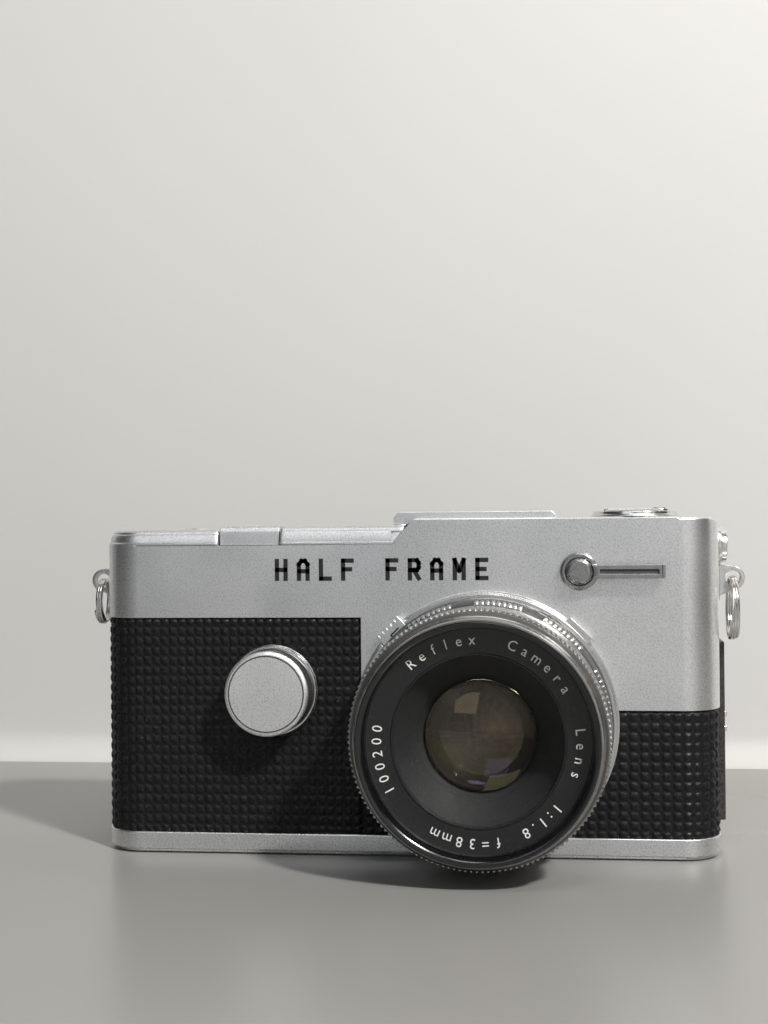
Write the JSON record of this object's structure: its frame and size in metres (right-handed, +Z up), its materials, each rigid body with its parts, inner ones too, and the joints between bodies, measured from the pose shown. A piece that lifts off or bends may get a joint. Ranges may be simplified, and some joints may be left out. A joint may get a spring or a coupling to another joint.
{
  "type": "half frame camera",
  "caption": "Compact half frame single lens reflex camera: chromed top, embossed leatherette, front shutter dial, side swinging mirror and a short silver and black lens.",
  "frame": {"origin": "mouth of the tripod socket, in the middle of the base", "axes": "+X right seen from the front, -Y forward along the lens, +Z up"},
  "size_m": [0.1376, 0.0615, 0.0699],
  "materials": {
    "casting": "black painted die casting",
    "satin_chrome": "satin chrome on brass, fine bead blasted grain",
    "polished_chrome": "bright chrome with soft wear",
    "leather": "embossed leatherette",
    "foam": "foam light seal",
    "back_metal": "satin chromed sheet",
    "steel": "turned steel",
    "black_plate": "black lacquer",
    "spring_steel": "spring steel",
    "brass_gear": "cut brass",
    "white_dial": "white dial with black divisions",
    "black_plastic": "moulded black plastic",
    "lens_silver": "turned satin aluminium",
    "black_anodised": "gloss black enamel",
    "dark_cone": "matt dark grey lacquer",
    "coated_glass": "coated lens element",
    "clear_glass": "optical glass",
    "ground_screen": "ground screen",
    "mirror": "front silvered mirror",
    "titanium": "titanium foil",
    "wire": "nickel plated spring wire"
  },
  "bodies": {
    "body": {"body_casting": "casting", "take_up_casting": "casting", "cassette_casting": "casting", "top_cover": "satin_chrome", "base_plate": "satin_chrome", "front_leather": "leather", "light_seals": "foam", "door_pin": "steel", "release_spring": "spring_steel", "speed_dial_ring": "polished_chrome", "mount_flange": "lens_silver", "mount_screws": "steel", "focusing_screen": "ground_screen", "finder_prism": "clear_glass", "eyepiece_frame": "black_plastic", "eyepiece_lens": "clear_glass", "strap_lugs": "polished_chrome", "sync_socket": "polished_chrome", "tripod_bush": "steel", "base_screws": "steel"},
    "back": {"back_door": "back_metal", "back_leather": "leather", "pressure_plate": "black_plate", "pressure_spring": "spring_steel"},
    "latch": {"door_latch": "polished_chrome"},
    "release_bar": {"shutter_button": "satin_chrome", "release_rod": "steel"},
    "wind": {"advance_lever": "polished_chrome", "lever_cap": "polished_chrome", "advance_gear": "brass_gear"},
    "counter": {"counter_dial": "white_dial"},
    "spool": {"take_up_spool": "black_plastic", "spool_gear": "brass_gear"},
    "sprocket_wheel": {"sprocket": "steel"},
    "rewind_lifter": {"rewind_collar": "brass_gear"},
    "rewind": {"rewind_knob": "polished_chrome", "rewind_fork": "steel"},
    "crank": {"rewind_crank": "polished_chrome", "crank_grip": "polished_chrome"},
    "rewind_release": {"rewind_release_button": "polished_chrome"},
    "speed": {"speed_dial": "satin_chrome"},
    "timer": {"self_timer_lever": "polished_chrome", "self_timer_cap": "satin_chrome"},
    "tab": {"lens_release_tab": "satin_chrome"},
    "lens": {"lens_barrel": "lens_silver", "depth_scale_ring": "lens_silver", "rear_cell": "black_anodised", "rear_glass": "coated_glass"},
    "aperture": {"aperture_ring": "lens_silver"},
    "focus": {"focus_ring": "lens_silver"},
    "front_group": {"front_barrel": "lens_silver", "front_rim": "black_anodised", "name_ring": "black_anodised", "inner_cone": "dark_cone", "front_glass": "coated_glass"},
    "mirror": {"reflex_mirror": "mirror", "mirror_holder": "black_plate"},
    "shutter": {"shutter_disc": "titanium"},
    "ring_left": {"split_ring_left": "wire"},
    "ring_right": {"split_ring_right": "wire"}
  },
  "joints": [
    {"name": "shutter_release", "type": "slide", "parent": "body", "child": "release_bar", "axis": [0, 0, -1], "range_m": [0, 0.0018], "stiffness_N_per_m": 400, "springref_m": -0.0005, "deforming": ["release_spring"]},
    {"name": "advance_lever", "type": "hinge", "parent": "body", "child": "wind", "pos_m": [-0.047, 0.00444, 0.064], "axis": [0, 0, 1], "range_deg": [0, 150], "stiffness_Nm_per_rad": 0.02, "springref_deg": -17.19},
    {"name": "counter_turn", "type": "hinge", "parent": "body", "child": "counter", "pos_m": [-0.047, 0.00444, 0.065], "axis": [0, 0, 1], "range_deg": [0, 360]},
    {"name": "spool_turn", "type": "hinge", "parent": "body", "child": "spool", "pos_m": [-0.04, 0.001, 0.03], "axis": [0, 0, 1], "range_deg": [-310, 10]},
    {"name": "sprocket_turn", "type": "hinge", "parent": "body", "child": "sprocket_wheel", "pos_m": [-0.0205, 0.0086, 0.03], "axis": [0, 0, 1], "range_deg": [-10, 300]},
    {"name": "rewind_lift", "type": "slide", "parent": "body", "child": "rewind_lifter", "axis": [0, 0, 1], "range_m": [0, 0.0065]},
    {"name": "rewind_turn", "type": "hinge", "parent": "rewind_lifter", "child": "rewind", "pos_m": [0.0467, 0.0004, 0.06], "axis": [0, 0, 1], "continuous": true},
    {"name": "crank_fold", "type": "hinge", "parent": "rewind", "child": "crank", "pos_m": [0.0408, 0.0004, 0.0694], "axis": [0, -1, 0], "range_deg": [0, 120]},
    {"name": "speed_dial_turn", "type": "hinge", "parent": "body", "child": "speed", "pos_m": [-0.0269, -0.018, 0.0335], "axis": [0, -1, 0], "range_deg": [0, 305]},
    {"name": "self_timer_swing", "type": "hinge", "parent": "body", "child": "timer", "pos_m": [0.03515, -0.016, 0.0574], "axis": [0, -1, 0], "range_deg": [0, 180]},
    {"name": "lens_release", "type": "slide", "parent": "body", "child": "tab", "axis": [0.7071, 0, -0.7071], "range_m": [0, 0.001], "stiffness_N_per_m": 500, "springref_m": -0.0005},
    {"name": "lens_twist", "type": "hinge", "parent": "body", "child": "lens", "pos_m": [0.0163, -0.017, 0.0271], "axis": [0, -1, 0], "range_deg": [0, 60]},
    {"name": "aperture_turn", "type": "hinge", "parent": "lens", "child": "aperture", "pos_m": [0.0163, -0.022, 0.0271], "axis": [0, -1, 0], "range_deg": [0, 55]},
    {"name": "focus_turn", "type": "hinge", "parent": "lens", "child": "focus", "pos_m": [0.0163, -0.033, 0.0271], "axis": [0, -1, 0], "range_deg": [0, 170]},
    {"name": "focus_travel", "type": "slide", "parent": "lens", "child": "front_group", "axis": [0, -1, 0], "range_m": [0, 0.0042]},
    {"name": "mirror_swing", "type": "hinge", "parent": "body", "child": "mirror", "pos_m": [0.0256, 0.0012, 0.0271], "axis": [0, 0, 1], "range_deg": [0, 42], "stiffness_Nm_per_rad": 0.004, "springref_deg": -11.46},
    {"name": "shutter_spin", "type": "hinge", "parent": "body", "child": "shutter", "pos_m": [0.0035, 0.004, 0.0322], "axis": [0, -1, 0], "continuous": true},
    {"name": "back_open", "type": "hinge", "parent": "body", "child": "back", "pos_m": [-0.0622, 0.0153, 0.026], "axis": [0, 0, 1], "range_deg": [0, 120]},
    {"name": "latch_slide", "type": "slide", "parent": "back", "child": "latch", "axis": [0, 0, 1], "range_m": [0, 0.003], "stiffness_N_per_m": 150, "springref_m": -0.001},
    {"name": "rewind_release_push", "type": "slide", "parent": "body", "child": "rewind_release", "axis": [0, 0, 1], "range_m": [0, 0.0012], "stiffness_N_per_m": 300, "springref_m": -0.0006},
    {"name": "ring_left_swing", "type": "hinge", "parent": "body", "child": "ring_left", "pos_m": [-0.0663, 0, 0.0554], "axis": [0, 1, 0], "range_deg": [0, 80]},
    {"name": "ring_right_swing", "type": "hinge", "parent": "body", "child": "ring_right", "pos_m": [0.0663, 0, 0.0554], "axis": [0, -1, 0], "range_deg": [0, 80]}
  ],
  "couplings": [
    {"joint": "counter_turn", "follows": "advance_lever", "ratio": 0.033333},
    {"joint": "spool_turn", "follows": "advance_lever", "ratio": -2},
    {"joint": "sprocket_turn", "follows": "advance_lever", "ratio": 1.92},
    {"joint": "focus_travel", "follows": "focus_turn", "m_per_rad": 0.0013481}
  ]
}
